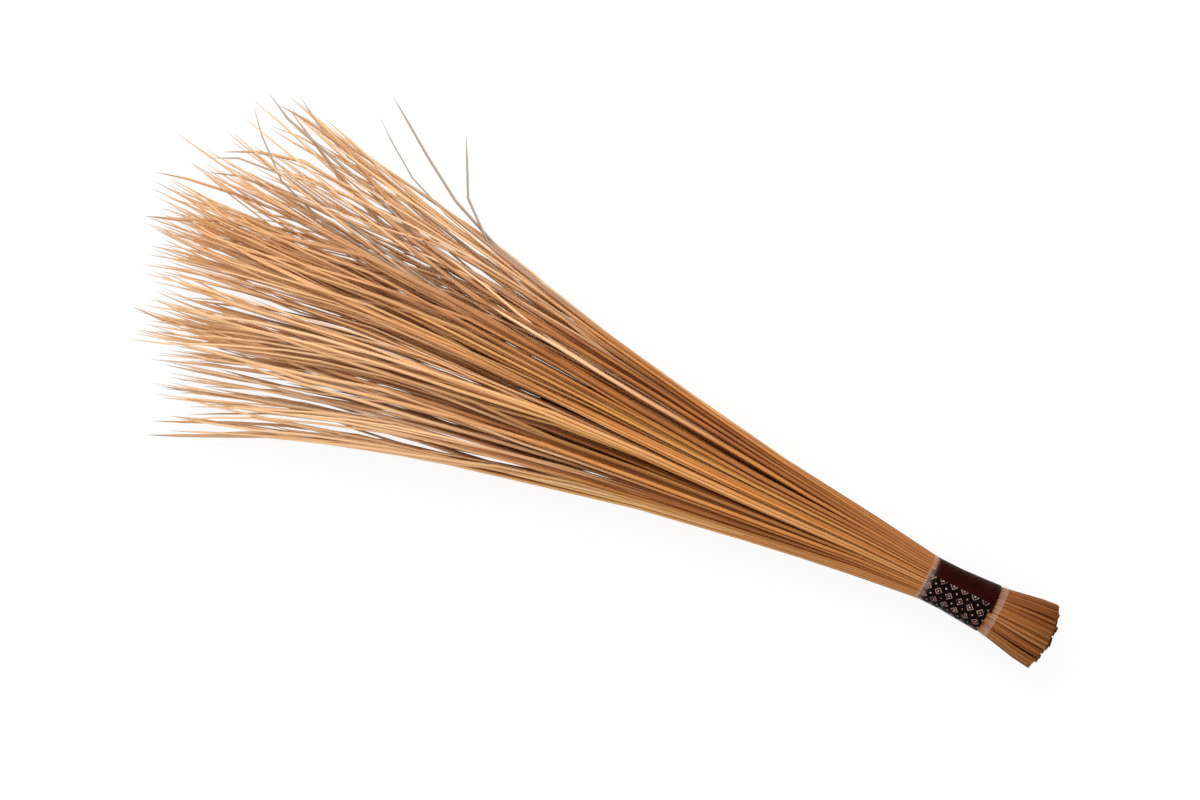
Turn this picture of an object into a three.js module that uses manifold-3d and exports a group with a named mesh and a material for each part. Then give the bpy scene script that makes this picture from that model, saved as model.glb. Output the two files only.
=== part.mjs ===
// A stick broom: some three hundred stiff leaf ribs, drawn into a waist by a steel ring near
// their butt ends, covered there by a printed band and clear film, and spread into a fan.
// Millimetres. The broom lies on a flat surface at z = 0. +X runs along the grip towards the
// butt ends and +Z is up. Stations are distances from the butt ends towards the tips.

import * as THREE from 'three';
import { mergeGeometries, mergeVertices } from 'three/addons/utils/BufferGeometryUtils.js';
import Module from 'manifold-3d';

const wasm = await Module();
wasm.setup();

// The bound end
const buttEndRadius = 31;
const flareStation = 22;
const flareRadius = 32;
const gripRadius = 22.6;
const waistStation = 104;
const waistRadius = 18.6;
const buttCrown = 7;

// The fan, which lies on the surface and sweeps to one side
const ribLength = 902;
const neckStation = 152;
const neckHalfWidth = 26;
const neckHalfHeight = 24;
const fanStation = 810;
const fanMiddleHalfWidth = 74.5;
const fanHalfWidth = 159.5;
const fanHalfHeight = 48;
const fanSweep = 40.5;
const layDownStation = 320;
const tipFront = 85;
const tipScatter = 62;

// The ring, the printed band and the clear film over them
const ringWidth = 12;
const ringThickness = 0.9;
const bandStation = 59;
const bandLength = 61.7;
const bandThickness = 0.4;
const bandSkew = 4;
const filmThickness = 0.25;
const filmButtMargin = 6.3;
const filmFanMargin = 2.6;

// Clearances and small sizes of the ribs
const fitGap = 0.3;
const ribGap = 0.3;
const hankGap = 0.3;
const rimInset = 0.2;
const restCut = 0.5;
const mouthDepth = 2.7;
const scallopDepth = 0.7;
const tipLift = 2;

// How the ribs wander by the time they reach the fan's width
const layerSway = 11;
const ribWanderAcross = 2.4;
const ribWanderUp = 0.9;

// Two snapped ribs that stand out from the fan's edge: where they bend and where they end
const strayBendStation = 637;
const strayReachesAcross = [74, 74];
const strayReachesAlong = [123, 43];

// Counts and shares
const hankColumns = [5, 5, 6, 6];
const hankEndShares = [[1, 0.36], [0.3, 0.12], [0, 0], [0.08, 0.85]];
const scallopCount = 36;
const wrapSteps = 48;
const rampSteps = 2;
const bandLap = { first: 11, steps: 5 };
const filmLap = { first: 33, steps: 6 };
const ribBendShares = [0, 0.42, 0.82];
const ribTaperShares = [0.97, 0.78, 0.5];
const tuftGatherShare = 0.26;
const slowLeanShare = 1.15;
const quickLeanShare = 2.6;

const cos30 = Math.cos(Math.PI / 6);
const fullTurn = 2 * Math.PI;

// Places that follow from the sizes above
const bandEndStation = bandStation + bandLength;
const faceStation = bandEndStation - mouthDepth;
const ringStart = waistStation - ringWidth / 2;
const axisHeight = flareRadius - restCut;
const hankCount = hankColumns.length;
const columnCount = hankColumns.reduce((sum, columns) => sum + columns, 0);

// The ribs stand in columns, staggered like packed rods, each a three-sided rod with one side
// down. Their thickness is what fills the waist at the gaps given.
const closePitches = columnCount - hankCount;
const packedGaps = closePitches * cos30 * ribGap + (hankCount - 1) * hankGap;
const ribRadius = (2 * waistRadius - packedGaps) / (cos30 * (1.5 * closePitches + 2 * hankCount));
const rowPitch = 1.5 * ribRadius + ribGap;
const columnPitch = rowPitch * cos30;
const hankPitch = 2 * ribRadius * cos30 + hankGap;

// A repeatable value from -1 to 1 for the rib of a number
function wander(number, seed) {
  const wave = Math.sin(number * 12.9898 + seed * 78.233) * 43758.5453;
  return 2 * (wave - Math.floor(wave)) - 1;
}

function smoothShare(value) {
  const share = Math.min(Math.max(value, 0), 1);
  return share * share * (3 - 2 * share);
}

// A parabola through three values at the shares 0, one half and 1
function through(first, middle, last, share) {
  const handle = 2 * middle - (first + last) / 2;
  return first * (1 - share) ** 2 + 2 * handle * share * (1 - share) + last * share ** 2;
}

// The bundle's radius from the butt ends to the face where the ribs come free
const bundleProfile = [
  [0, buttEndRadius],
  [flareStation, flareRadius],
  [bandStation, gripRadius],
  [ringStart, waistRadius],
  [faceStation, waistRadius],
];

// The radius that a profile has at a station between two of its own
function radiusAt(profile, station) {
  const next = Math.max(profile.findIndex(([end]) => end >= station), 1);
  const [start, first] = profile[next - 1];
  const [end, last] = profile[next];
  return first + (last - first) * (station - start) / (end - start);
}

// Where each hank's slice of the bundle begins and ends across the waist
const hankEdges = [];
hankColumns.forEach((columns, hank) => {
  const start = hank === 0 ? -waistRadius : hankEdges[hank - 1][1] + hankGap;
  hankEdges.push([start, start + 2 * ribRadius * cos30 + (columns - 1) * columnPitch]);
});

// Every rib of the bundle: its hank, and its place in the waist across and up from the axis
function packRibs() {
  const ribs = [];
  let across = ribRadius * cos30 - waistRadius;
  let column = 0;
  hankColumns.forEach((columns, hank) => {
    for (let place = 0; place < columns; place += 1) {
      const reach = Math.abs(across) + ribRadius * cos30;
      const chord = Math.sqrt(Math.max((waistRadius - rimInset) ** 2 - reach ** 2, 0));
      const stagger = (column % 2) / 2;
      const lowest = Math.ceil((ribRadius / 2 - chord) / rowPitch - stagger);
      const highest = Math.floor((chord - ribRadius / 2) / rowPitch - stagger);
      for (let row = lowest; row <= highest; row += 1) {
        ribs.push({
          hank,
          number: ribs.length,
          across,
          up: (row + stagger) * rowPitch,
          columnFoot: (lowest + stagger) * rowPitch,
          isLowest: row === lowest,
        });
      }
      across += place === columns - 1 ? hankPitch : columnPitch;
      column += 1;
    }
  });
  return ribs;
}

// The fan spreads the waist's section. From the neck on it flattens until its lowest ribs lie
// on the surface. Each hank draws together into a tuft, and layers at different heights lean
// to different sides, so that ribs cross in plan and stay apart in height.
const outerAcross = waistRadius - ribRadius * cos30;

function fanPoint(rib, station, radius) {
  const run = (station - neckStation) / (fanStation - neckStation);
  const loose = Math.max(run, 0) ** 2;
  const middle = (hankEdges[rib.hank][0] + hankEdges[rib.hank][1]) / 2;
  const gathered = rib.across + (middle - rib.across) * tuftGatherShare * loose ** 2;
  const halfWidth = through(neckHalfWidth, fanMiddleHalfWidth, fanHalfWidth, run) - radius;
  const halfHeight = neckHalfHeight + (fanHalfHeight - neckHalfHeight) * run - radius;
  const laid = smoothShare((station - neckStation) / (layDownStation - neckStation));
  const foot = laid * (radius / 2 - restCut);
  const height = (rib.up - laid * rib.columnFoot) / outerAcross;
  const slowLean = Math.sin(fullTurn * slowLeanShare * height);
  const quickLean = Math.sin(fullTurn * quickLeanShare * height) / 2;
  const wanderAcross = ribWanderAcross * wander(rib.number, 1);
  const wanderUp = rib.isLowest ? 0 : ribWanderUp * wander(rib.number, 2);
  return new THREE.Vector3(
    -station,
    halfWidth * gathered / outerAcross
      + loose * (layerSway * (slowLean + quickLean) + wanderAcross - fanSweep),
    halfHeight * height + (1 - laid) * axisHeight + foot + loose * wanderUp,
  );
}

// The points and section radii of one rib, from the face of the bound end to its tip
function ribPath(rib) {
  const root = new THREE.Vector3(-faceStation, rib.across, axisHeight + rib.up);
  const path = [{ point: root, radius: ribRadius }];
  ribBendShares.forEach((share, bend) => {
    const station = neckStation + share * (fanStation - neckStation);
    const radius = ribRadius * ribTaperShares[bend];
    path.push({ point: fanPoint(rib, station, radius), radius });
  });
  const early = tipFront * (rib.across / outerAcross) ** 2;
  const scatter = tipScatter * (1 + wander(rib.number, 3)) / 2;
  const tip = fanPoint(rib, ribLength - early - scatter, 0);
  tip.z += tipLift;
  path.push({ point: tip, radius: 0 });
  return path;
}

// A snapped rib follows its neighbours to the bend and then stands out to the side
function strayPath(rib, reachAcross, reachAlong) {
  const path = ribPath(rib).slice(0, -1);
  const { radius } = path.at(-1);
  const bend = fanPoint(rib, strayBendStation, radius);
  const tip = bend.clone().add(new THREE.Vector3(-reachAlong, reachAcross, tipLift));
  return [...path.filter(({ point }) => point.x > bend.x), { point: bend, radius },
    { point: tip, radius: 0 }];
}

// A geometry from corner points and the corners of its triangles
function meshGeometry(points, corners) {
  const geometry = new THREE.BufferGeometry().setFromPoints(points);
  geometry.setIndex(corners);
  return geometry;
}

// A closed three-sided rod along a path: each section stands square to X with a side down, and
// the rod ends in a point
function rodGeometry(path) {
  const rings = path.slice(0, -1);
  const points = rings.flatMap(({ point: { x, y, z }, radius }) => [
    new THREE.Vector3(x, y - radius * cos30, z - radius / 2),
    new THREE.Vector3(x, y + radius * cos30, z - radius / 2),
    new THREE.Vector3(x, y, z + radius),
  ]);
  points.push(path.at(-1).point);
  const corners = [0, 1, 2];
  const lastRing = points.length - 4;
  for (let side = 0; side < 3; side += 1) {
    const beside = (side + 1) % 3;
    for (let ring = 0; ring < lastRing; ring += 3) {
      corners.push(ring + side, ring + 3 + side, ring + beside);
      corners.push(ring + beside, ring + 3 + side, ring + 3 + beside);
    }
    corners.push(lastRing + side, lastRing + 3, lastRing + beside);
  }
  return meshGeometry(points, corners);
}

// A closed solid through sections with equal numbers of points. flatten lays an end section
// out in two dimensions.
function loftGeometry(sections, flatten) {
  const count = sections[0].length;
  const corners = [];
  const last = (sections.length - 1) * count;
  for (let ring = 0; ring < last; ring += count) {
    for (let place = 0; place < count; place += 1) {
      const here = ring + place;
      const beside = ring + (place + 1) % count;
      corners.push(here, here + count, beside);
      corners.push(beside, here + count, beside + count);
    }
  }
  THREE.ShapeUtils.triangulateShape(sections[0].map(flatten), []).forEach(([a, b, c]) => {
    corners.push(a, b, c);
    corners.push(last + c, last + b, last + a);
  });
  return meshGeometry(sections.flat(), corners);
}

// A closed geometry as a solid that can be joined and cut, and the way back
function solidOf(geometry) {
  const bare = geometry.clone();
  bare.deleteAttribute('normal');
  bare.deleteAttribute('uv');
  const merged = mergeVertices(bare);
  return new wasm.Manifold(new wasm.Mesh({
    numProp: 3,
    vertProperties: merged.attributes.position.array,
    triVerts: new Uint32Array(merged.index.array),
  }));
}

function geometryOf(body) {
  const { vertProperties, triVerts } = body.getMesh();
  const geometry = new THREE.BufferGeometry();
  geometry.setAttribute('position', new THREE.BufferAttribute(vertProperties, 3));
  geometry.setIndex(new THREE.BufferAttribute(triVerts, 1));
  return geometry;
}

// The surface that the broom lies on, as a block
const ground = solidOf(new THREE.BoxGeometry(2 * ribLength, 2 * ribLength, 2 * flareRadius)
  .translate(-ribLength / 2, 0, -flareRadius));

// The outline of a hank's slice of the bundle in shares of the bundle's radius, its outer ribs
// showing as scallops
function sliceOutline(low, high) {
  const valley = 1 - scallopDepth / flareRadius;
  const highAngle = high < valley ? Math.acos(high / valley) : 0;
  const lowAngle = low > -valley ? Math.acos(low / valley) : Math.PI;
  const steps = 2 * Math.max(Math.round((lowAngle - highAngle) / fullTurn * scallopCount), 1);
  const arc = (from, to) => Array.from({ length: steps + 1 }, (_, step) => {
    const angle = from + (to - from) * step / steps;
    const radius = step % 2 ? 1 : valley;
    return new THREE.Vector2(radius * Math.cos(angle), radius * Math.sin(angle));
  });
  const over = arc(highAngle, lowAngle);
  const under = arc(fullTurn - lowAngle, fullTurn - highAngle);
  if (lowAngle === Math.PI) under.shift();
  if (highAngle === 0) under.pop();
  return [...over, ...under];
}

// One hank: its slice of the bound bundle and the ribs that run free from it, cut flat below
function hankGeometry(hank, ribs) {
  const [lowEdge, highEdge] = hankEdges[hank];
  const [lowShare, highShare] = hankEndShares[hank];
  const outline = sliceOutline(lowEdge / waistRadius, highEdge / waistRadius);
  const sections = bundleProfile.map(([station, radius]) => outline.map(({ x, y }) => {
    const side = (x * waistRadius - lowEdge) / (highEdge - lowEdge);
    const setback = station === 0 ? buttCrown * (lowShare + (highShare - lowShare) * side) : 0;
    return new THREE.Vector3(-station - setback, radius * x, axisHeight + radius * y);
  }));
  const slice = loftGeometry(sections, ({ y, z }) => new THREE.Vector2(y, z));
  const rods = ribs.filter((rib) => rib.hank === hank).map((rib) => rodGeometry(rib.path));
  return geometryOf(solidOf(slice).add(solidOf(mergeGeometries(rods))).subtract(ground));
}

// The ring that binds the bundle: a flat steel band with eased edges
function ringGeometry() {
  const inner = waistRadius + fitGap;
  const outer = inner + ringThickness;
  const half = ringWidth / 2;
  const ease = ringThickness / 3;
  const profile = [[inner, -half], [outer - ease, -half], [outer, ease - half], [outer, half - ease],
    [outer - ease, half], [inner, half], [inner, -half]];
  const points = profile.map(([radius, along]) => new THREE.Vector2(radius, along));
  return new THREE.LatheGeometry(points, wrapSteps);
}

// The band hugs the bundle at its butt edge and clears the ring from there on
const bandProfile = [
  [bandStation, gripRadius + fitGap],
  [ringStart, waistRadius + 2 * fitGap + ringThickness],
  [bandEndStation + bandSkew, waistRadius + 2 * fitGap + ringThickness],
];
const bandRise = bandThickness + fitGap;
const filmRise = filmThickness + fitGap;

// How far the band's lap lifts what lies over it, at a step of the turn
function lapLift(step) {
  const past = (step - bandLap.first + 3 * wrapSteps / 2) % wrapSteps - wrapSteps / 2;
  const share = Math.min(past / rampSteps + 1, (bandLap.steps - past) / rampSteps + 1);
  return bandRise * Math.min(Math.max(share, 0), 1);
}

// A strip wound once round the grip, its outer end lapping over its inner one. edge gives the
// stations and inner radii of the strip where it has made a share of its winding.
function wrapGeometry(lap, thickness, edge) {
  const rise = thickness + fitGap;
  const sections = [];
  for (let step = 0; step <= wrapSteps + lap.steps; step += 1) {
    const angle = fullTurn * (lap.first + step) / wrapSteps;
    const lifted = rise * Math.min(Math.max((step - wrapSteps) / rampSteps + 1, 0), 1);
    const place = ([station, radius], wall) => new THREE.Vector3(
      -station,
      (radius + lifted + wall) * Math.cos(angle),
      axisHeight + (radius + lifted + wall) * Math.sin(angle),
    );
    const line = edge(lap.first + step, step / (wrapSteps + lap.steps));
    const inside = line.map((point) => place(point, 0));
    const outside = line.map((point) => place(point, thickness)).reverse();
    sections.push([...inside, ...outside]);
  }
  const flatten = ({ x, y, z }) => new THREE.Vector2(-x, Math.hypot(y, z - axisHeight));
  return loftGeometry(sections, flatten);
}

function bandGeometry() {
  return wrapGeometry(bandLap, bandThickness, (step, wound) => {
    const stations = [bandStation + bandSkew * wound, ringStart, bandEndStation + bandSkew * wound];
    return stations.map((station) => [station, radiusAt(bandProfile, station)]);
  });
}

function filmGeometry() {
  const start = bandStation - filmButtMargin;
  const end = bandEndStation + bandSkew + filmFanMargin;
  return wrapGeometry(filmLap, filmThickness, (step) => {
    const over = bandRise + lapLift(step);
    const [[, gripEdge], [, waistEdge]] = bandProfile;
    return [
      [start, radiusAt(bundleProfile, start) + fitGap + over],
      [bandStation, gripEdge + over],
      [ringStart, waistEdge + over],
      [end, waistEdge + over],
    ];
  });
}

const ribMaterial = { color: 0xa66b3c, roughness: 0.62, metalness: 0 };

function addPart(name, geometry, look) {
  geometry.computeVertexNormals();
  const mesh = new THREE.Mesh(geometry, new THREE.MeshStandardMaterial(look));
  mesh.name = name;
  broom.add(mesh);
  return mesh;
}

const broom = new THREE.Group();
const ribs = packRibs();
ribs.forEach((rib) => {
  rib.path = ribPath(rib);
});
strayReachesAcross.forEach((reachAcross, stray) => {
  const rib = ribs.at(-1 - stray);
  rib.path = strayPath(rib, reachAcross, strayReachesAlong[stray]);
});
hankColumns.forEach((columns, hank) => {
  addPart(`rib_hank_${hank + 1}`, hankGeometry(hank, ribs), ribMaterial);
});

const ring = addPart('binding_ring', ringGeometry(), { color: 0x8f9194, roughness: 0.4, metalness: 1 });
ring.rotation.z = Math.PI / 2;
ring.position.set(-waistStation, 0, axisHeight);

addPart('printed_band', bandGeometry(), { color: 0x2a0f0b, roughness: 0.45, metalness: 0 });
addPart('clear_film', filmGeometry(), {
  color: 0xe6dfe0,
  roughness: 0.12,
  metalness: 0,
  transparent: true,
  opacity: 0.3,
});

// The origin is at the middle of the footprint
const footprint = new THREE.Box3().setFromObject(broom);
const middle = footprint.getCenter(new THREE.Vector3());
broom.position.set(-middle.x, -middle.y, -footprint.min.z);

export default broom;
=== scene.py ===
import math

import bpy
import numpy as np
from bpy.props import FloatProperty, FloatVectorProperty, IntProperty, PointerProperty
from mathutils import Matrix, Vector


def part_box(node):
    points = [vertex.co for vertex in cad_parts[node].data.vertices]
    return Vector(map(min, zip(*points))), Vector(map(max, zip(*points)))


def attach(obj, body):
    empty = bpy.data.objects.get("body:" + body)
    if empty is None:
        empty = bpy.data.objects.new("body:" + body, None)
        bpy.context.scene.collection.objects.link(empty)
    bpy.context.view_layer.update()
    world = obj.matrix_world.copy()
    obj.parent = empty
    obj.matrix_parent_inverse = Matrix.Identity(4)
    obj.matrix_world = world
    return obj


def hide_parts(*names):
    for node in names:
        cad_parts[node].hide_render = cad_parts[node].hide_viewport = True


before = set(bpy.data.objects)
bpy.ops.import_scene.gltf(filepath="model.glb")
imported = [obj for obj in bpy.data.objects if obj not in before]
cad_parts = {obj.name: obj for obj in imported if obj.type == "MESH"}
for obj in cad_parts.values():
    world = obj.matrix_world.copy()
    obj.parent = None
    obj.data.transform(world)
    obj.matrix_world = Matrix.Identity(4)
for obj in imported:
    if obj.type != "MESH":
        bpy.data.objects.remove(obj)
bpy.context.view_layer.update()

bl_info = {
    "name": "Stick Broom",
    "version": (1, 0, 0),
    "blender": (4, 5, 0),
    "location": "View3D > Sidebar > Broom",
    "description": "Dresses a stick broom: leaf ribs, printed band, clear film and a studio",
    "category": "Add Mesh",
}

# The bound end, measured on the ring that holds it. A station is a distance from the butt ends
# towards the tips, and heights and sideways places are taken from the ring's axis.
RING_LOW, RING_HIGH = (np.array(corner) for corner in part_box("binding_ring"))
RING_MIDDLE = (RING_LOW + RING_HIGH) / 2
WAIST_STATION = 0.104
RING_OUTSIDE_TO_RIBS = 0.0012
WAIST_RADIUS = (RING_HIGH[2] - RING_LOW[2]) / 2 - RING_OUTSIDE_TO_RIBS
BUTT_X = RING_MIDDLE[0] + WAIST_STATION
AXIS_Y, AXIS_Z = RING_MIDDLE[1], RING_MIDDLE[2]

# Curves of the bundle over its stations: radius of the bound end, then the fan's half width,
# the sideways place of its middle, and its half height
BOUND_RADIUS = ((0, 0.0322), (0.022, 0.0298), (0.045, 0.0254), (0.059, 0.0226),
                (0.104, 0.0186), (0.122, 0.0186))
FAN_HALF_WIDTH = ((0.104, 0.0186), (0.122, 0.0205), (0.140, 0.0250), (0.180, 0.0284),
                  (0.225, 0.0333), (0.270, 0.0396), (0.342, 0.0504), (0.450, 0.0689),
                  (0.540, 0.0875), (0.630, 0.1065), (0.720, 0.1290), (0.810, 0.1560),
                  (0.900, 0.1790))
FAN_MIDDLE = ((0.104, 0), (0.180, -0.0005), (0.270, -0.0036), (0.342, -0.0052),
              (0.450, -0.0085), (0.540, -0.0121), (0.630, -0.0170), (0.720, -0.0265),
              (0.810, -0.0375), (0.900, -0.0480))
FAN_HALF_HEIGHT = ((0.104, 0.0186), (0.122, 0.0205), (0.152, 0.0240), (0.810, 0.0470),
                   (0.900, 0.0490))
# Stations between which the clumps of the butt ends fade out, the ribs leave the round of the
# waist, take the fan's own spread, and sink to the floor
CLUMPS_FADE = (0.015, 0.085)
LEAVE_ROUND = (WAIST_STATION, 0.135)
SPREAD_OUT = (0.14, 0.34)
LAY_DOWN = (0.152, 0.330)
# How many clumps the butt ends stand in, and how far a rib is turned towards one, in radians
BUTT_CLUMPS = 11
CLUMP_TURN = 0.068
# Where the fan starts to loosen and over what length, and the share of a rib's length at which
# its tip begins
RUN_START = 0.150
RUN_LENGTH = 0.700
TIP_SHARE = 0.62
# A rib that would pass a share of the half width, or a height, is held within a little room
# past it, and all ribs keep a gap to the floor
EDGE_SHARE = 0.98
EDGE_ROOM = 0.07
TOP_HEIGHT = 0.096
TOP_ROOM = 0.012
FLOOR_GAP = 0.0002

# Shares of the width run from -1 at the fan's lower edge in the picture to 1 at its upper edge.
# Those between which its lower side ends and its upper side begins:
LOWER_ENDS = (-0.75, -0.45)
UPPER_BEGINS = (0.25, 0.60)
# How far the ribs of each share of the width reach
TIP_STATION = ((-1.0, 0.802), (-0.85, 0.812), (-0.60, 0.834), (-0.36, 0.859), (-0.06, 0.880),
               (0.14, 0.902), (0.34, 0.900), (0.50, 0.868), (0.68, 0.842), (0.95, 0.836))

# Which part of the ribs at each share of the width ends well short of that. The sides thin out
# and have paler tips, while the two thick tufts, in the middle and below it, stay full.
THINNING = ((-1.0, 0.42), (-0.60, 0.38), (-0.46, 0.08), (-0.34, 0.08), (-0.15, 0.40),
            (0.0, 0.10), (0.10, 0.03), (0.30, 0.04), (0.45, 0.26), (0.70, 0.38), (1.0, 0.42))

# Each rib's rings: stations through the bound end and the neck, then shares of the rest of
# its length
BOUND_STATIONS = (0.0, 0.022, 0.059, 0.104, 0.129, 0.188)
FREE_SHARES = (0.16, 0.32, 0.47, 0.60, 0.71, 0.81, 0.89, 0.955, 1.0)
RIB_SIDES = 4

# The picture's width and middle in its pixels
PICTURE_WIDTH = 1200
PICTURE_MIDDLE = (600, 400)
# Ribs that stand out from the rest: their share of the height in the waist, their height over
# the floor in metres at the first place and at the tip, how grey they are, and the pixels that
# they pass, from the inner end to the tip
GUIDED = {
    "arched upper rib": (0.60, 0.060, 0.034, 0.2, (
        (436, 252), (398, 216), (369, 176), (341, 144), (301, 117), (279, 105))),
    "rib below the arched one": (0.72, 0.066, 0.040, 0.3, (
        (419, 247), (369, 203), (322, 170), (280, 154), (222, 152))),
    "upper rib that bends level": (0.85, 0.078, 0.042, 0.2, (
        (360, 252), (297, 218), (238, 195), (184, 178), (155, 172))),
    "rib beside it": (0.80, 0.074, 0.044, 0.4, (
        (411, 247), (352, 222), (293, 197), (239, 176), (205, 172))),
    "rib that turns up": (0.55, 0.062, 0.038, 0.9, (
        (352, 240), (306, 210), (276, 172), (259, 126), (253, 105))),
    "second rib that turns up": (0.62, 0.056, 0.046, 0.7, (
        (400, 222), (345, 166), (296, 128), (268, 92))),
    "longer stray": (0.10, 0.026, 0.022, 1.0, (
        (560, 300), (518, 266), (472, 222), (444, 184), (415, 134), (392, 95))),
    "upright stray": (0.24, 0.028, 0.026, 1.0, (
        (566, 303), (520, 267), (476, 226), (470, 212), (468, 180), (466, 133))),
    "fainter stray": (0.34, 0.034, 0.028, 1.0, (
        (540, 290), (462, 229), (411, 176), (379, 115))),
    "upper edge rib": (0.40, 0.040, 0.024, 0.5, (
        (491, 247), (428, 197), (356, 151), (331, 132))),
    "rib under the edge": (0.50, 0.050, 0.036, 0.5, (
        (430, 262), (373, 214), (327, 159), (291, 112))),
    "rib that crosses the edge": (0.30, 0.040, 0.030, 0.6, (
        (470, 250), (396, 190), (330, 140), (300, 96))),
    "level rib": (0.60, 0.066, 0.050, 0.8, (
        (350, 225), (296, 182), (238, 158), (205, 158))),
    "middle tuft rib": (0.92, 0.088, 0.048, 0.0, (
        (377, 260), (297, 241), (226, 220), (171, 219), (144, 216))),
    "lower tuft rib": (0.75, 0.074, 0.040, 0.0, (
        (373, 386), (302, 361), (218, 331), (155, 317), (131, 306))),
    "fourth tuft rib": (0.45, 0.040, 0.016, 0.2, (
        (373, 424), (247, 399), (159, 386))),
    "lowest rib": (0.10, 0.012, 0.008, 0.2, (
        (436, 455), (360, 436), (268, 424), (184, 422), (152, 421))),
    "second lowest rib": (0.22, 0.016, 0.010, 0.4, (
        (500, 476), (402, 451), (300, 437), (200, 436), (146, 435))),
}

# A guided rib leaves its own line this far before its first place. It is thicker than usual,
# less so the greyer it is, and of one tone.
JOIN_LENGTH = 0.08
GUIDED_THICKNESS = 1.3
GREY_THINNING = 0.45
GUIDED_TONE = 0.20

# Hanks: where one ends and the next begins across the waist, in shares of its radius
HANK_EDGES = (-0.545, -0.09, 0.455)
# The tufts that the tips gather into, and where one gives way to the next
TUFTS = (-1.03, -0.76, -0.42, 0.07, 0.22, 0.60, 0.93)
TUFT_EDGES = (-0.88, -0.62, -0.14, 0.12, 0.42, 0.78)
# How strongly the ribs at each share of the width are drawn into their tuft
GATHERING = ((-1.0, 1.0), (-0.74, 1.0), (-0.62, 0.5), (-0.50, 0.9), (-0.28, 1.0), (-0.14, 1.28),
             (0.0, 1.0), (1.0, 1.0))
# The share of the run at which a rib turns to its tuft, how much sooner that is on the lower side
# and later on the upper one, and the share over which it turns
TUFTS_START = 0.40
LOWER_SOONER = 0.14
UPPER_LATER = 0.20
TUFTS_TURN = 0.55
# The three locks that the ribs on top part into past the neck, the stations between which they
# close and open again, the heights in the waist between which ribs come to be on top, and the
# metres by which the lower half of the fan lags behind
LOCKS = (-0.68, 0.05, 0.74)
LOCK_EDGES = (-0.38, 0.49)
LOCKS_CLOSE = (0.16, 0.26)
LOCKS_OPEN = (0.34, 0.50)
LOCK_HEIGHTS = (-0.2, 0.5)
LOCK_LAG = 0.09

# Chance values: the share by which a rib is thicker or thinner, how much of its tone is its own
# and how much its clump's, the metres by which its tip falls short, usually and when snapped,
# and how far it is drawn into its lock and its tuft, which is more on the lower side
SIZE_CHANCE = 0.20
OWN_TONE = 0.55
CLUMP_TONE = 0.45
USUAL_SHORTFALL = 0.045
SNAPPED_SHORTFALL = (0.06, 0.30)
LOCK_CHANCE = 0.22
GATHER_CHANCE = 0.78
LOWER_GATHER = 0.22
# How often the ribs in the waist are pushed apart, and by what share of their overlap
PUSH_ROUNDS = 320
PUSH_SHARE = 0.45
# How much thicker the outermost ribs are, the painted light that makes ribs under others
# paler against the shade among the ribs above them, and the tone that is added to all
RIM_EXTRA = 0.28
UNDER_PAINTED_LIGHT = 0.36
ALL_TONE = -0.06
# The age up to which ribs come. Only guided ones are older, and so greyer.
USUAL_AGE = 0.97
# How much more the upper ribs wander, the power of the run by which a rib loosens, and how much
# higher that is for the upper ones, which loosen later
UPPER_WANDER = 1.3
LOOSE_POWER = 1.8
UPPER_POWER = 1.4
# A rib drifts upwards this share of what it drifts sideways, and the undermost ribs' waves are
# this share of the others'
UPWARD_DRIFT = 0.5
LOW_WAVE = 0.75
# Lengths of the long and the short waves of a rib, and lengths of ribs between which tips come
# to curl, all in metres, and the shares of the width between which they come to bend in
WAVE_LENGTHS = (0.16, 0.42)
WIGGLE_LENGTHS = (0.12, 0.20)
CURL_LENGTHS = (0.45, 0.80)
BEND_BEGINS = (0.10, 0.45)
# How far back a butt end stands: by chance, by the steps between groups of ribs, and at the sides.
# The groups lie across the bundle, and this many fit its half width and half height.
CROWN_CHANCE = 0.0022
CROWN_STEP = 0.0011
CROWN_SIDES = 0.0042
GROUPS_ACROSS = 4.5
GROUPS_UP = 1.2

# Streaks of darker and paler ribs, partly random tone and partly painted shade of the valleys
# at the lock edges: their place across, their half width and the change of tone
TONE_AND_VALLEY_SHADE = ((-0.88, 0.09, 0.18), (-0.72, 0.04, -0.30), (-0.60, 0.05, 0.20), (-0.40, 0.06, -0.36),
                (-0.20, 0.07, 0.40), (-0.06, 0.04, -0.15), (0.10, 0.05, 0.15), (0.29, 0.03, -0.20),
                (0.49, 0.04, -0.12), (0.62, 0.06, 0.15), (0.81, 0.10, -0.25))


def linear(red, green, blue):
    """A display colour, 0 to 255, as the linear colour that a shader takes."""
    share = np.array((red, green, blue)) / 255
    curved = np.where(share > 0.04045, ((share + 0.055) / 1.055) ** 2.4, share / 12.92)
    return tuple(float(value) for value in curved)


def smooth(low, high, value):
    """0 below low, 1 above high, and a smooth S between them: 3t^2 - 2t^3."""
    share = np.clip((value - low) / (high - low), 0, 1)
    return share * share * (3 - 2 * share)


def curve_at(points, value):
    """A smooth curve through the points: a cubic between each two, whose slope at a point is
    that of the line between the points on its two sides."""
    places, heights = np.array(points).T
    slopes = np.gradient(heights, places)
    value = np.clip(value, places[0], places[-1])
    left = np.clip(np.searchsorted(places, value, side="right") - 1, 0, len(places) - 2)
    width = places[left + 1] - places[left]
    share = (value - places[left]) / width
    first, last = heights[left], heights[left + 1]
    rise, fall = slopes[left] * width, slopes[left + 1] * width
    return (first * (1 + 2 * share) * (1 - share) ** 2 + rise * share * (1 - share) ** 2
            + last * share ** 2 * (3 - 2 * share) - fall * share ** 2 * (1 - share))


def line_at(points, value):
    """Straight lines through the points."""
    return np.interp(value, *np.array(points).T)


def middle_of(middles, edges, across):
    """The middle of the tuft or lock that each share of the width lies in."""
    return np.array(middles)[np.searchsorted(edges, across)]


def held(value, limit, room):
    """The value up to the limit, and past it the limit + room * tanh(excess / room)."""
    past = np.clip(value - limit, 0, None)
    return np.minimum(value, limit) + room * np.tanh(past / room)


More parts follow.
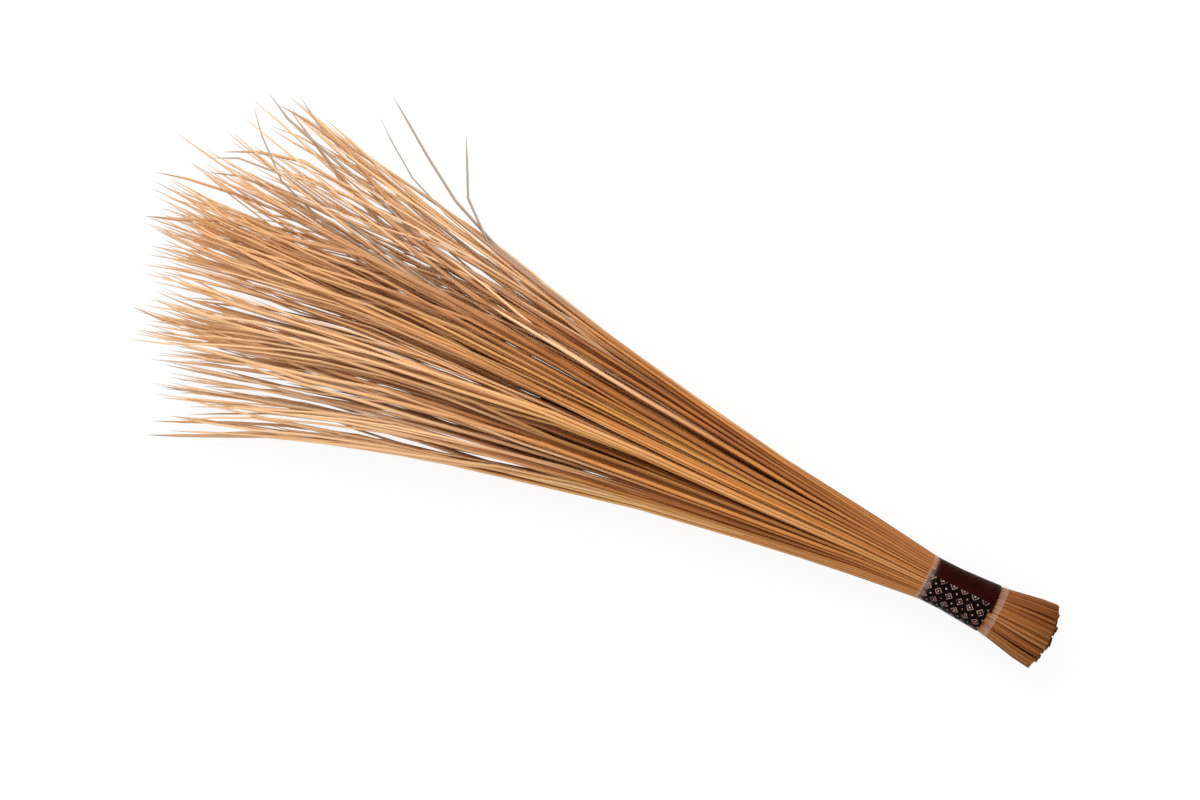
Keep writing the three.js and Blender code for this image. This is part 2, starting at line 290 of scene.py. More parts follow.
def packed_places(radii, limit):
    """Places for discs inside a circle. They start on a sunflower spiral, whose reach grows
    as the root of the count, and are then pushed apart: both discs of a pair that overlaps
    move away by a little less than half the overlap, and a disc past the rim moves back."""
    number = np.arange(len(radii)) + 0.5
    reach = (limit - radii) * np.sqrt(number / len(radii))
    turn = number * math.pi * (3 - math.sqrt(5))
    places = np.stack([reach * np.cos(turn), reach * np.sin(turn)], axis=1)
    touching = radii[:, None] + radii[None, :]
    for _ in range(PUSH_ROUNDS):
        apart = places[:, None] - places[None, :]
        distance = np.linalg.norm(apart, axis=2) + 1e-9
        overlap = np.clip(touching - distance, 0, None)
        np.fill_diagonal(overlap, 0)
        push = apart * (overlap / distance)[..., None]
        places = places + push.sum(axis=1) * PUSH_SHARE
        past = np.linalg.norm(places, axis=1) / (limit - radii)
        places = places / np.maximum(past, 1)[:, None]
    return places


class Ribs:
    """The broom's ribs as arrays: where each sits in the waist, how thick and how long it is,
    and how it wanders on its way to its tip. All chance values are drawn in one fixed order."""

    def __init__(self, settings):
        draw = np.random.default_rng(settings.seed)
        self.count = settings.count
        self.pack(settings, draw)
        self.take_tones(settings, draw)
        self.take_lengths(draw)
        self.take_ways(settings, draw)
        self.roll = draw.uniform(0, math.pi / 2, self.count)
        self.crown = draw.uniform(0, CROWN_CHANCE, self.count)

    def pack(self, settings, draw):
        """Thickness and place in the waist. The share of the width in the fan is that across
        the waist, a, moved outwards by 0.5 (a^3 - a^5)."""
        rim = np.sqrt((np.arange(self.count) + 0.5) / self.count)
        size = 1 + RIM_EXTRA * smooth(0.80, 0.94, rim)
        size += draw.uniform(-SIZE_CHANCE, SIZE_CHANCE, self.count)
        self.radius = settings.thickness / 2 * size
        places = packed_places(self.radius, WAIST_RADIUS)
        inside = (WAIST_RADIUS - self.radius)[:, None]
        self.across, self.up = (places / inside).T
        self.spread = self.across + 0.50 * (self.across ** 3 - self.across ** 5)

    def take_tones(self, settings, draw):
        """Tone, partly shared by a clump, with streaks over the fan, whose darker ones at the lock
        edges are painted shade, ribs under others painted paler as painted light, and age, by which
        some are yellower or greyer."""
        clump_places = draw.uniform(-1, 1, (settings.clumps, 2))
        places = np.stack([self.across, self.up], axis=1)
        gaps = np.linalg.norm(places[:, None] - clump_places[None], axis=2)
        clump_tones = draw.random(settings.clumps)[np.argmin(gaps, axis=1)]
        self.tone = OWN_TONE * draw.random(self.count) + CLUMP_TONE * clump_tones
        self.age = draw.random(self.count) * USUAL_AGE
        # Darker streaks at the lock edges are painted shade of the valleys there
        for place, width, change in TONE_AND_VALLEY_SHADE:
            self.tone += change * np.exp(-((self.spread - place) / width) ** 2)
        foot = np.sqrt(np.clip(1 - self.across ** 2, 0.04, 1))
        # Painted light: ribs under others are made paler, lifting the shade among the ribs above
        # them
        self.tone += UNDER_PAINTED_LIGHT * (1 - smooth(-0.2, 0.8, self.up / foot)) + ALL_TONE
        self.tone = np.clip(self.tone, 0, 1)

    def take_lengths(self, draw):
        """Length: the reach of the rib's share of the width, less a shortfall."""
        self.thinning = line_at(THINNING, self.spread)
        short = np.abs(draw.normal(0, USUAL_SHORTFALL, self.count))
        snapped = draw.random(self.count) < self.thinning
        short = np.where(snapped, draw.uniform(*SNAPPED_SHORTFALL, self.count), short)
        self.length = line_at(TIP_STATION, self.spread) - short

    def take_ways(self, settings, draw):
        """How much a rib is drawn into its lock and tuft, and its drift, curl and waves
        sideways and up. The upper tips bend in towards the middle."""
        count = self.count
        upper = smooth(*UPPER_BEGINS, self.spread)
        wandering = (1 + UPPER_WANDER * upper)[:, None]
        self.power = LOOSE_POWER + UPPER_POWER * upper
        self.lock = draw.uniform(0, LOCK_CHANCE, count)
        self.lower = 1 - smooth(*LOWER_ENDS, self.spread)
        self.gather = draw.uniform(0, GATHER_CHANCE, count) + LOWER_GATHER * self.lower
        self.gather *= line_at(GATHERING, self.spread)
        self.drift = draw.normal(0, 1, (count, 2)) * settings.wander * wandering
        self.drift[:, 1] *= UPWARD_DRIFT
        self.curl = draw.normal(0, 1, (count, 2)) * settings.curl * wandering
        self.curl[:, 0] -= settings.bend * smooth(*BEND_BEGINS, self.spread)
        self.curl *= smooth(*CURL_LENGTHS, self.length)[:, None]
        self.wave = draw.normal(0, 1, (count, 2, 2)) * settings.wave
        waving = LOW_WAVE + (1 - LOW_WAVE) * smooth(-0.7, 0.1, self.up)
        self.wave *= waving[:, None, None]
        self.phase = draw.uniform(0, 2 * math.pi, (count, 2, 2))
        self.wavelength = draw.uniform(*WAVE_LENGTHS, (count, 2, 2))
        self.wiggle = draw.normal(0, 1, (count, 2)) * settings.wiggle
        self.wiggle_length = draw.uniform(*WIGGLE_LENGTHS, (count, 2))

    def stations(self):
        """Each rib's stations: the bound ones, then shares of its length past the neck. The
        butt ends stand back a little towards both sides and by a small amount of their own."""
        bound = np.tile(np.array(BOUND_STATIONS), (self.count, 1))
        group = np.floor(self.across * GROUPS_ACROSS + self.up * GROUPS_UP)
        step_back = CROWN_STEP * np.mod(group * 1.7, 3)
        bound[:, 0] += self.crown + step_back + CROWN_SIDES * np.abs(self.across) ** 3
        neck = BOUND_STATIONS[-1]
        free = neck + np.array(FREE_SHARES) * (self.length - neck)[:, None]
        return np.concatenate([bound, free], axis=1)

    def thickness(self, stations):
        """A rib's radius: that in the waist, swollen towards the butt and past the neck, and
        tapering with the share s of its length past the waist by 0.15 s^2.6 + 0.32 s^8."""
        share = np.clip((stations - WAIST_STATION) / (self.length[:, None] - WAIST_STATION), 0, 1)
        taper = 1 - 0.15 * share ** 2.6 - 0.32 * share ** 8
        butt_swell = 0.55 * (1 - smooth(0.02, 0.10, stations))
        swell = 1.10 + butt_swell + 0.42 * smooth(0.12, 0.24, stations)
        return self.radius[:, None] * taper * swell

    def bound_places(self, stations, radius):
        """Sideways and upward places in the bound end: those in the waist, scaled by the
        bundle's radius, and near the butt ends turned into clumps."""
        turn = np.arctan2(self.up, self.across)[:, None]
        fading = 1 - smooth(*CLUMPS_FADE, stations)
        turn = turn + fading * CLUMP_TURN * np.sin(BUTT_CLUMPS * turn + 1.3 * np.sin(2 * turn))
        reach = curve_at(BOUND_RADIUS, stations) - radius
        reach *= np.hypot(self.across, self.up)[:, None]
        return reach * np.cos(turn), reach * np.sin(turn)

    def fan_places(self, stations, radius, run):
        """Sideways and upward places in the fan: the rib's shares of the width and height,
        scaled by the fan's half width and half height. The share of the width is drawn to the
        rib's lock for a while, and then to its tuft. The under half sinks until it is flat on
        the floor."""
        across, up, own = (part[:, None] for part in (self.across, self.up, self.spread))
        spread = across + (own - across) * smooth(*SPREAD_OUT, stations)
        lagging = stations - LOCK_LAG * (1 - smooth(-0.1, 0.3, own))
        locks = self.lock[:, None] * smooth(*LOCKS_CLOSE, lagging) * smooth(*LOCK_HEIGHTS, up)
        locks *= 1 - 0.9 * smooth(*LOCKS_OPEN, lagging)
        spread += locks * (middle_of(LOCKS, LOCK_EDGES, own) - own)
        start = TUFTS_START + UPPER_LATER * smooth(0.20, 0.40, own)
        start -= LOWER_SOONER * self.lower[:, None]
        tufting = self.gather[:, None] * smooth(start, start + TUFTS_TURN, run)
        spread += tufting * (middle_of(TUFTS, TUFT_EDGES, own) - own)
        half_width = curve_at(FAN_HALF_WIDTH, stations) - radius
        half_height = curve_at(FAN_HALF_HEIGHT, stations) - radius
        laid = smooth(*LAY_DOWN, stations)
        foot = np.sqrt(np.clip(1 - across ** 2, 0, 1))
        y = curve_at(FAN_MIDDLE, stations) + half_width * spread
        z = half_height * (up + laid * foot) - laid * (AXIS_Z - radius)
        return y, z

    def strayed(self, stations, run, axis):
        """How far ribs stray, sideways or up: a drift and two long waves that grow with the
        run, and over the tip a curl and a short wave."""
        loose = run ** self.power[:, None]
        late = (stations / self.length[:, None] - TIP_SHARE) / (1 - TIP_SHARE)
        late = np.clip(late, 0, 1) ** 2
        way = loose * self.drift[:, axis, None] + late * self.curl[:, axis, None]
        turn = 2 * math.pi * stations / self.wiggle_length[:, axis, None]
        turn += self.phase[:, axis, 0, None]
        way += np.sqrt(late) * self.wiggle[:, axis, None] * np.sin(turn)
        for part in range(2):
            turn = 2 * math.pi * stations / self.wavelength[:, axis, part, None]
            turn += self.phase[:, axis, part, None]
            way += np.minimum(loose, 0.8) * self.wave[:, axis, part, None] * np.sin(turn)
        return way

    def middles(self, stations, radius):
        """The middle line of each rib: from its place in the bound end it goes over to that in
        the fan, strays, and is held within the fan's sides, top and floor."""
        run = np.clip((stations - RUN_START) / RUN_LENGTH, 0, None)
        bound = np.stack(self.bound_places(stations, radius))
        fan = np.stack(self.fan_places(stations, radius, run))
        y, z = bound + (fan - bound) * smooth(*LEAVE_ROUND, stations)
        y += self.strayed(stations, run, 0)
        z += self.strayed(stations, run, 1)
        middle, half = curve_at(FAN_MIDDLE, stations), curve_at(FAN_HALF_WIDTH, stations)
        share = (y - middle) / half
        inside = np.sign(share) * held(np.abs(share), EDGE_SHARE, EDGE_ROOM)
        y = np.where(stations > LAY_DOWN[0], middle + half * inside, y)
        height = held(AXIS_Z + z, TOP_HEIGHT, TOP_ROOM)
        height = np.maximum(height, radius + FLOOR_GAP)
        return np.stack([BUTT_X - stations, AXIS_Y + y, height], axis=2)

    def guide(self, stations, middles, radius, studio):
        """Leads the ribs that stand out through their places in the picture. Each is the rib
        nearest to its first place, of those not yet taken. It keeps its own line up to a little
        before that place, and its free rings are then set along the whole line, at the usual
        shares of its length, on a smooth curve through the places."""
        taken = []
        for up, first, last, grey, pixels in GUIDED.values():
            heights = np.linspace(first, last, len(pixels))
            places = picture_places(np.array(pixels, float), heights, studio)
            station = BUTT_X - places[0, 0]
            sideways = places[0, 1] - AXIS_Y - curve_at(FAN_MIDDLE, station)
            share = sideways / curve_at(FAN_HALF_WIDTH, station)
            distance = np.hypot(self.spread - share, self.up - up)
            distance[taken] = np.inf
            rib = int(np.argmin(distance))
            taken.append(rib)
            own = middles[rib][middles[rib][:, 0] > places[0, 0] + JOIN_LENGTH]
            line = np.concatenate([own, places])
            steps = np.linalg.norm(np.diff(line, axis=0), axis=1)
            gone = np.concatenate([[0], np.cumsum(steps)])
            neck = len(BOUND_STATIONS) - 1
            wanted = gone[neck] + np.array(FREE_SHARES) * (gone[-1] - gone[neck])
            for axis in range(3):
                curve = np.column_stack([gone, line[:, axis]])
                middles[rib, neck + 1:, axis] = curve_at(curve, wanted)
            radius[rib] *= GUIDED_THICKNESS - GREY_THINNING * grey
            self.tone[rib] = GUIDED_TONE
            self.thinning[rib] = 0
            self.age[rib] = 0.9 + 0.1 * grey
            stations[rib, neck + 1:] = wanted
            self.length[rib] = gone[-1]


def picture_places(pixels, heights, studio):
    """Places in metres of the picture's pixels at given heights: the pixel's distance from the
    picture's middle, turned with the camera and scaled down as the height nears the camera."""
    turn = studio.camera_turn
    near = (studio.camera_height - heights) / (studio.camera_height - AXIS_Z)
    offset = (pixels - PICTURE_MIDDLE) * (1, -1) * studio.view_width / PICTURE_WIDTH
    offset *= near[:, None]
    x = offset[:, 0] * math.cos(turn) - offset[:, 1] * math.sin(turn)
    y = offset[:, 0] * math.sin(turn) + offset[:, 1] * math.cos(turn)
    return np.column_stack([x + studio.view_middle[0], y + studio.view_middle[1], heights])


def rod_arrays(middles, radius, roll):
    """Closed rods along middle lines. Each ring stands across its line's direction, as
    middle + radius * (cos(a) * side + sin(a) * above), with side level and square to the line.
    A fan of triangles closes the butt end and the last ring draws in to a point."""
    count, rings, _ = middles.shape
    direction = np.gradient(middles, axis=1)
    direction /= np.linalg.norm(direction, axis=2, keepdims=True)
    side = np.cross(direction, np.array([0.0, 0.0, 1.0]))
    side /= np.linalg.norm(side, axis=2, keepdims=True)
    above = np.cross(side, direction)
    angle = roll[:, None, None] + np.arange(RIB_SIDES) * 2 * math.pi / RIB_SIDES
    spokes = (np.cos(angle)[..., None] * side[:, :, None]
              + np.sin(angle)[..., None] * above[:, :, None])
    ring_points = middles[:, :, None] + radius[:, :, None, None] * spokes
    body = ring_points[:, :-1].reshape(count, -1, 3)
    points = np.concatenate([middles[:, :1], body, middles[:, -1:]], axis=1)

    ring = np.arange(rings - 2)[:, None] * RIB_SIDES + 1
    place = np.arange(RIB_SIDES)
    beside = (place + 1) % RIB_SIDES
    quads = np.stack([ring + place, ring + beside, ring + RIB_SIDES + beside,
                      ring + RIB_SIDES + place], axis=2).reshape(-1, 4)
    last = (rings - 2) * RIB_SIDES + 1
    butt = np.stack([np.zeros(RIB_SIDES, int), beside + 1, place + 1], axis=1)
    tip = np.stack([last + place, last + beside, np.full(RIB_SIDES, last + RIB_SIDES)], axis=1)
    return points, quads, butt, tip


def add_object(name, mesh):
    """A mesh as an object of the scene, at the origin."""
    piece = bpy.data.objects.new(name, mesh)
    bpy.context.scene.collection.objects.link(piece)
    return piece


def rib_mesh(name, ribs, chosen, middles, radius, stations):
    """One mesh of the chosen ribs, with their bake map and looks."""
    points, *parts = rod_arrays(middles[chosen], radius[chosen], ribs.roll[chosen])
    count, per_rib, _ = points.shape
    start = np.arange(count)[:, None, None] * per_rib
    corners = np.concatenate([(start + part[None]).reshape(-1) for part in parts])
    sizes = np.concatenate([np.full(count * len(part), part.shape[1]) for part in parts])
    mesh = bpy.data.meshes.new(name)
    mesh.vertices.add(count * per_rib)
    mesh.vertices.foreach_set("co", points.reshape(-1))
    mesh.loops.add(len(corners))
    mesh.loops.foreach_set("vertex_index", corners)
    mesh.polygons.add(len(sizes))
    mesh.polygons.foreach_set("loop_start", np.cumsum(sizes) - sizes)
    mesh.polygons.foreach_set("use_smooth", np.ones(len(sizes), dtype=bool))
    mesh.update(calc_edges=True)
    add_bake_map(mesh, count, stations.shape[1], corners % per_rib)
    add_looks(mesh, ribs, chosen, stations[chosen])
    return mesh


def add_bake_map(mesh, count, rings, corner_places):
    """The map that the looks are baked on. Each rib is a strip of the unit square, with its
    rings along the strip and its sides across it."""
    side = np.arange(RIB_SIDES)
    body = np.tile(np.stack([side, side + 1, side + 1, side], axis=1), (rings - 2, 1))
    butt = np.stack([side + 0.5, side + 1, side], axis=1)
    tip = np.stack([side, side + 1, side + 0.5], axis=1)
    strip = np.arange(count)[:, None]
    across = np.concatenate([
        (strip + 0.04 + 0.92 * part.reshape(1, -1) / RIB_SIDES).reshape(-1) / count
        for part in (body, butt, tip)])
    ring_places = np.repeat(np.linspace(0.01, 0.95, rings - 1), RIB_SIDES)
    along = np.concatenate([[0], ring_places, [1]])[corner_places]
    layer = mesh.uv_layers.new(name="OFBake")
    layer.data.foreach_set("uv", np.stack([along, across], axis=1).reshape(-1))


def add_looks(mesh, ribs, chosen, stations):
    """What the material reads: a rib's tone, its age and where the core of its cut end is, then
    the distance from the butt end, the share of the rib's length and how thinned its part of
    the fan is."""
    rings = stations.shape[1]
    ring_of = np.concatenate([[0], np.repeat(np.arange(rings - 1), RIB_SIDES), [rings - 1]])
    along = stations[:, ring_of]
    core = np.zeros(len(ring_of))
    core[0] = 1
    tone, age, length, thinning = (part[chosen][:, None] for part in (
        ribs.tone, ribs.age, ribs.length, ribs.thinning))
    thinned = thinning / max(part for _, part in THINNING)
    looks = {"rib_look": (tone, age, core), "rib_run": (along, along / length, thinned)}
    for label, parts in looks.items():
        values = np.ones((*along.shape, 4))
        for axis, part in enumerate(parts):
            values[..., axis] = part
        attribute = mesh.attributes.new(label, "FLOAT_COLOR", "POINT")
        attribute.data.foreach_set("color", values.reshape(-1))


class Value:
    """A number in a shader. Arithmetic on it adds Math nodes."""

    def __init__(self, shader, socket):
        self.shader = shader
        self.socket = socket

    def math(self, operation, *others):
        return self.shader.node("ShaderNodeMath", {"operation": operation},
                                dict(enumerate((self, *others))))

    def __add__(self, other):
        return self.math("ADD", other)

    def __sub__(self, other):
        return self.math("SUBTRACT", other)

    def __rsub__(self, other):
        return (self * -1) + other

    def __mul__(self, other):
        return self.math("MULTIPLY", other)

    def __truediv__(self, other):
        return self.math("DIVIDE", other)

    def __abs__(self):
        return self.math("ABSOLUTE")

    __radd__ = __add__
    __rmul__ = __mul__

    def between(self, low, high):
        """0 below low, 1 above high, smooth between."""
        return self.shader.node("ShaderNodeMapRange", {"interpolation_type": "SMOOTHSTEP"},
                                {"Value": self, "From Min": low, "From Max": high})

    def held(self):
        """The value held between 0 and 1."""
        return self.shader.node("ShaderNodeMath", {"operation": "ADD", "use_clamp": True},
                                {0: self, 1: 0.0})


class Shader:
    """A material's nodes, with one Principled surface."""

    def __init__(self, name, **surface):
        self.material = bpy.data.materials.new(name)
        self.material.use_nodes = True
        self.tree = self.material.node_tree
        self.tree.nodes.clear()
        self.surface = self.tree.nodes.new("ShaderNodeBsdfPrincipled")
        for label, value in surface.items():
            self.surface.inputs[label.replace("_", " ")].default_value = value
        self.output = self.tree.nodes.new("ShaderNodeOutputMaterial")
        self.tree.links.new(self.surface.outputs[0], self.output.inputs["Surface"])

    def set(self, node, inputs):
        """Sets or links the inputs of a node."""
        for label, value in inputs.items():
            socket = node.inputs[label]
            if isinstance(value, Value):
                self.tree.links.new(value.socket, socket)
            elif hasattr(value, "__len__") and len(value) == 3 and len(socket.default_value) == 4:
                socket.default_value = (*value, 1)
            else:
                socket.default_value = value

    def node(self, kind, settings=None, inputs=None, output=0):
        """Adds a node of a type: its settings, or a ramp's stops, then its inputs."""
        node = self.tree.nodes.new(kind)
        for label, value in (settings or {}).items():
            if label == "stops":
                ramp = node.color_ramp.elements
                while len(ramp) < len(value):
                    ramp.new(1)
                for stop, (place, colour) in zip(ramp, value):
                    stop.position = place
                    stop.color = (*colour, 1)
            else:
                setattr(node, label, value)
        self.set(node, inputs or {})
        return Value(self, node.outputs[output])

    def mix(self, share, first, second):
        """A colour between two, by a share."""
        node = self.tree.nodes.new("ShaderNodeMix")
        node.data_type = "RGBA"
        self.set(node, {0: share, 6: first, 7: second})
        return Value(self, node.outputs[2])

    def parts(self, kind, whole):
        """The numbers that a node of a type takes a colour or vector apart into."""
        node = self.tree.nodes.new(kind)
        self.set(node, {0: whole})
        return [Value(self, socket) for socket in node.outputs]

    def attribute(self, label):
        """The red, green and blue of an attribute, as numbers."""
        colour = self.node("ShaderNodeAttribute", {"attribute_name": label})
        return self.parts("ShaderNodeSeparateColor", colour)

    def place(self):
        """The place on the object."""
        return self.node("ShaderNodeTexCoord", None, None, "Object")

    def noise(self, vector, scale, detail, rough):
        """Noise from 0 to 1 at places of a vector."""
        return self.node("ShaderNodeTexNoise", {"noise_dimensions": "3D"},
                         {"Vector": vector, "Scale": scale, "Detail": detail, "Roughness": rough})

    def vector(self, x, y, z):
        return self.node("ShaderNodeCombineXYZ", None, {0: x, 1: y, 2: z})

    def bump(self, height, distance, strength):
        """A Bump node on the surface's normal, from a height in shares of a distance."""
        normal = self.node("ShaderNodeBump", None,
                           {"Height": height, "Distance": distance, "Strength": strength})
        self.set(self.surface, {"Normal": normal})


def rib_material(settings):
    """Dry leaf rib: orange brown, each rib of its own tone, which holds the ribs' painted shade and
    painted light, with streaks along it, darker at the butt, its cut end dark partly as a
    darkened cut and partly as painted shade of the end faces, paler towards the tip, and grey
    there where it is old."""
    shader = Shader("dry leaf rib", Roughness=0.5, Specular_IOR_Level=0.12)
    tone, age, core = shader.attribute("rib_look")
    along, share, thinned = shader.attribute("rib_run")
    place = shader.place()
    patches = shader.noise(shader.vector(along * 14, tone * 91, age * 57), 1.0, 3.0, 0.6)
    stretched = shader.node("ShaderNodeMapping", None,
                            {"Vector": place, "Scale": (14, 900, 900)})
    streaks = shader.noise(stretched, 1.0, 3.0, 0.65)
    depth = (tone * 0.76 + patches * 0.42 + streaks * 0.22 - 0.18).held()
    colour = shader.node("ShaderNodeValToRGB", {"stops": (
        (0.00, settings.dark_colour), (0.26, settings.brown_colour),
        (0.56, settings.orange_colour), (0.95, settings.blond_colour))}, {"Fac": depth})
    strawy = (1 - age.between(0.10, 0.30)) * 0.40
    colour = shader.mix(strawy, colour, settings.straw_colour)
    paling = share.between(0.50, 0.92) * (0.26 + thinned * 0.66 + patches * 0.5)
    colour = shader.mix(paling.held(), colour, settings.tip_colour)
    greyed = age.between(0.92, 0.99) * share.between(0.58, 0.80) * 0.85
    colour = shader.mix(greyed, colour, settings.grey_colour)
    colour = shader.mix((1 - along.between(0.08, 0.42)) * 0.62, colour, settings.brown_colour)
    grime = (1 - along.between(0.02, 0.10)) * (0.10 + streaks * 0.55 + (1 - tone) * 0.42)
    colour = shader.mix(grime.held(), colour, settings.dark_colour)
    # Partly painted shade: the cut end is darkened both as a darkened cut and as the shade of the
    # end faces
    cut_end_and_shade = (1 - (along + patches * -0.004).between(0.0, 0.0026)) * (1 - core * 0.35)
    colour = shader.mix(cut_end_and_shade.held(), colour, settings.cut_and_shade_colour)
    shader.set(shader.surface, {"Base Color": colour, "Roughness": 0.40 + streaks * 0.22})
    shader.bump(streaks, 0.0002, 0.6)
    return shader.material


def strip_mesh(name, outside, inside):
    """A closed strip between two grids of points, outside and inside, with steps along the
    strip in rows and places across it in columns."""
    rows, columns, _ = outside.shape
    points = np.concatenate([outside.reshape(-1, 3), inside.reshape(-1, 3)])
    grid = np.arange(rows * columns).reshape(rows, columns)
    under = grid + rows * columns

    def quads(first, second, third, fourth):
        return np.stack([first, second, third, fourth], axis=-1).reshape(-1, 4)

    faces = np.concatenate([
        quads(grid[:-1, :-1], grid[:-1, 1:], grid[1:, 1:], grid[1:, :-1]),
        quads(under[:-1, :-1], under[1:, :-1], under[1:, 1:], under[:-1, 1:]),
        quads(grid[:-1, 0], grid[1:, 0], under[1:, 0], under[:-1, 0]),
        quads(grid[1:, -1], grid[:-1, -1], under[:-1, -1], under[1:, -1]),
        quads(grid[0, 1:], grid[0, :-1], under[0, :-1], under[0, 1:]),
        quads(grid[-1, :-1], grid[-1, 1:], under[-1, 1:], under[-1, :-1]),
    ])
    mesh = bpy.data.meshes.new(name)
    mesh.from_pydata(points, [], faces.tolist())
    walls = len(faces) - 2 * (rows - 1) * (columns - 1)
    is_smooth = np.ones(len(faces), dtype=bool)
    is_smooth[-walls:] = False
    mesh.polygons.foreach_set("use_smooth", is_smooth)
    return mesh, faces


def add_map(mesh, faces, name, places):
    """A UV map with the given place for each vertex."""
    layer = mesh.uv_layers.new(name=name)
    layer.data.foreach_set("uv", places[faces.reshape(-1)].reshape(-1))


# The strips wound round the grip. Turns are shares of a full one, edges are stations, the skew is
# how far the edges move along over the winding, the gap is the room under the lap, columns are
# the points across, and the last two are the seed and the fineness of the ripples.
BAND = {"start_turn": 0.272, "lap": 0.09, "butt_edge": 0.0592, "fan_edge": 0.1205, "skew": 0.0035,
        "thickness": 0.0004, "gap": 0.0003, "columns": 15, "seed": 3, "fine": 1.0}
FILM = {"start_turn": 0.74, "lap": 0.10, "butt_edge": 0.0529, "fan_edge": 0.1262, "skew": 0.0,
        "thickness": 0.00018, "gap": 0.0002, "columns": 31, "seed": 11, "fine": 2.2}
WINDING_STEPS = 240
# The turns over which a strip climbs on to its own start
LAP_CLIMB = (0.965, 1.01)
# Inner radius of the band by station: close to the bundle at its butt edge, clear of the ring
BAND_RADIUS = ((0.053, 0.0238), (0.059, 0.0230), (0.098, 0.0204), (0.130, 0.0203))
# How far the film lies above that, the stations from which its margins come loose to where they
# are loose, and the distances from its edges between which its veil fades
FILM_LIFT = 0.0015
FILM_MARGINS = ((0.0600, 0.0530), (0.1235, 0.1262))
VEIL_FADES = (0.0020, 0.0080)
# Heights of the ripples on the band and the film, what its loose margins add to that, and the
# radians that a ripple turns in a metre along the grip, at most
BAND_RIPPLE = 0.00012
FILM_RIPPLE = 0.00016
LOOSE_RIPPLE = 0.00035
RIPPLE_PITCH = 260
# Middle radius of the band where its print is measured, where the printed part begins and ends
# along the strip, where the pale line is, and how large the lozenges are
PRINT_RADIUS = 0.0215
PRINT_BEGINS = (0.0995, 0.1000)
PRINT_ENDS = (0.1420, 0.1425)
PRINT_LINE = 0.1010
LOZENGE_SIZE = 0.0105


class Winding:
    """A strip wound once round the grip and lapped over its start."""

    def __init__(self, start_turn, lap, butt_edge, fan_edge, skew, thickness, gap, columns,
                 seed, fine):
        wound = np.linspace(0, 1, WINDING_STEPS)[:, None]
        across = np.linspace(0, 1, columns)[None, :]
        self.turns = (1 + lap) * wound
        self.angle = 2 * math.pi * (start_turn - self.turns)
        self.station = butt_edge + (fan_edge - butt_edge) * across + skew * wound
        self.thickness = thickness
        self.rise = (thickness + gap) * smooth(*LAP_CLIMB, self.turns)
        self.ripple = ripples(self.angle, self.station, seed, fine)

    def points(self, lift):
        """Points round the grip's axis: the band's inner radius at the station, plus the rise
        of the lap over the strip's own start, plus a lift."""
        reach = line_at(BAND_RADIUS, self.station) + self.rise + lift
        return np.stack([BUTT_X - self.station, AXIS_Y + reach * np.cos(self.angle),
                         AXIS_Z + reach * np.sin(self.angle)], axis=2)


def ripples(angle, station, seed, fine):
    """Low ripples on a wrapped sheet, from about -1 to 1: a sum of waves that run round and
    along the grip at angles of their own."""
    draw = np.random.default_rng(seed)
    total = np.zeros(np.broadcast(angle, station).shape)
    for around in (2, 3, 5, 7, 11):
        along = draw.uniform(-1, 1) * RIPPLE_PITCH * fine
        total += np.sin(around * angle + along * station + draw.uniform(0, 6.3)) / math.sqrt(around)
    return total / 2.2


def band_material(settings):
    """Printed strip: plain maroon on one part of the turn, black with a lattice of small pale
    lozenges on the other, and a fine pale line where the second begins."""
    shader = Shader("printed band", Roughness=0.34, Specular_IOR_Level=0.02)
    uv = shader.node("ShaderNodeUVMap", {"uv_map": "print"})
    around, along, _ = shader.parts("ShaderNodeSeparateXYZ", uv)
    column = around / LOZENGE_SIZE
    row = along / LOZENGE_SIZE
    first = abs(column.math("FRACT") - 0.5)
    second = abs(row.math("FRACT") - 0.5)
    lozenge = first + second
    outline = 1 - abs(lozenge - 0.31).between(0.030, 0.065)
    dot = 1 - (first * first + second * second).between(0.004, 0.012)
    shifted = abs((column + 0.5).math("FRACT") - 0.5) + abs((row + 0.5).math("FRACT") - 0.5)
    bead = 1 - shifted.between(0.07, 0.12)
    worn = shader.noise(shader.vector(around * 300, along * 300, 0.0), 1.0, 3.0, 0.6)
    print_share = ((outline * 0.75).math("MAXIMUM", dot).math("MAXIMUM", bead)
                   * worn.between(0.34, 0.52))
    zone = around.between(*PRINT_BEGINS) * (1 - around.between(*PRINT_ENDS))
    rim = 1 - abs(around - PRINT_LINE).between(0.00025, 0.0005)
    mottle = shader.noise(shader.vector(around * 90, along * 90, 3.0), 1.0, 4.0, 0.6)
    ground = shader.mix(zone, shader.mix(mottle, settings.maroon_colour, settings.deep_colour),
                        settings.black_colour)
    pale = shader.mix(mottle.between(0.42, 0.58), settings.cream_colour, settings.pink_colour)
    printed = (print_share * zone).math("MAXIMUM", rim * 0.7)
    colour = shader.mix(printed.held(), ground, pale)
    shader.set(shader.surface, {"Base Color": colour, "Roughness": 0.28 + mottle * 0.16})
    shader.bump(mottle, 0.0002, 0.4)
    return shader.material


def film_material(settings):
    """Clear film: a thin glossy sheet that can't be seen where it lies tight, with a pale veil
    on its loose edges."""
    shader = Shader("clear film", Roughness=0.14, IOR=1.49, Specular_IOR_Level=0.6)
    place = shader.place()
    creases = shader.noise(place, 190, 4.0, 0.65)
    clouds = shader.noise(place, 46, 3.0, 0.6)
    edge = shader.node("ShaderNodeAttribute", {"attribute_name": "film_edge"}, None, "Fac")
    alpha = edge * (0.70 + clouds.between(0.40, 0.64) * 0.30) * settings.film_cover
    shader.set(shader.surface, {"Base Color": settings.film_colour, "Alpha": alpha.held(),
                                "Roughness": 0.10 + clouds * 0.14})
    shader.bump(creases, 0.0004, 0.5)
    return shader.material


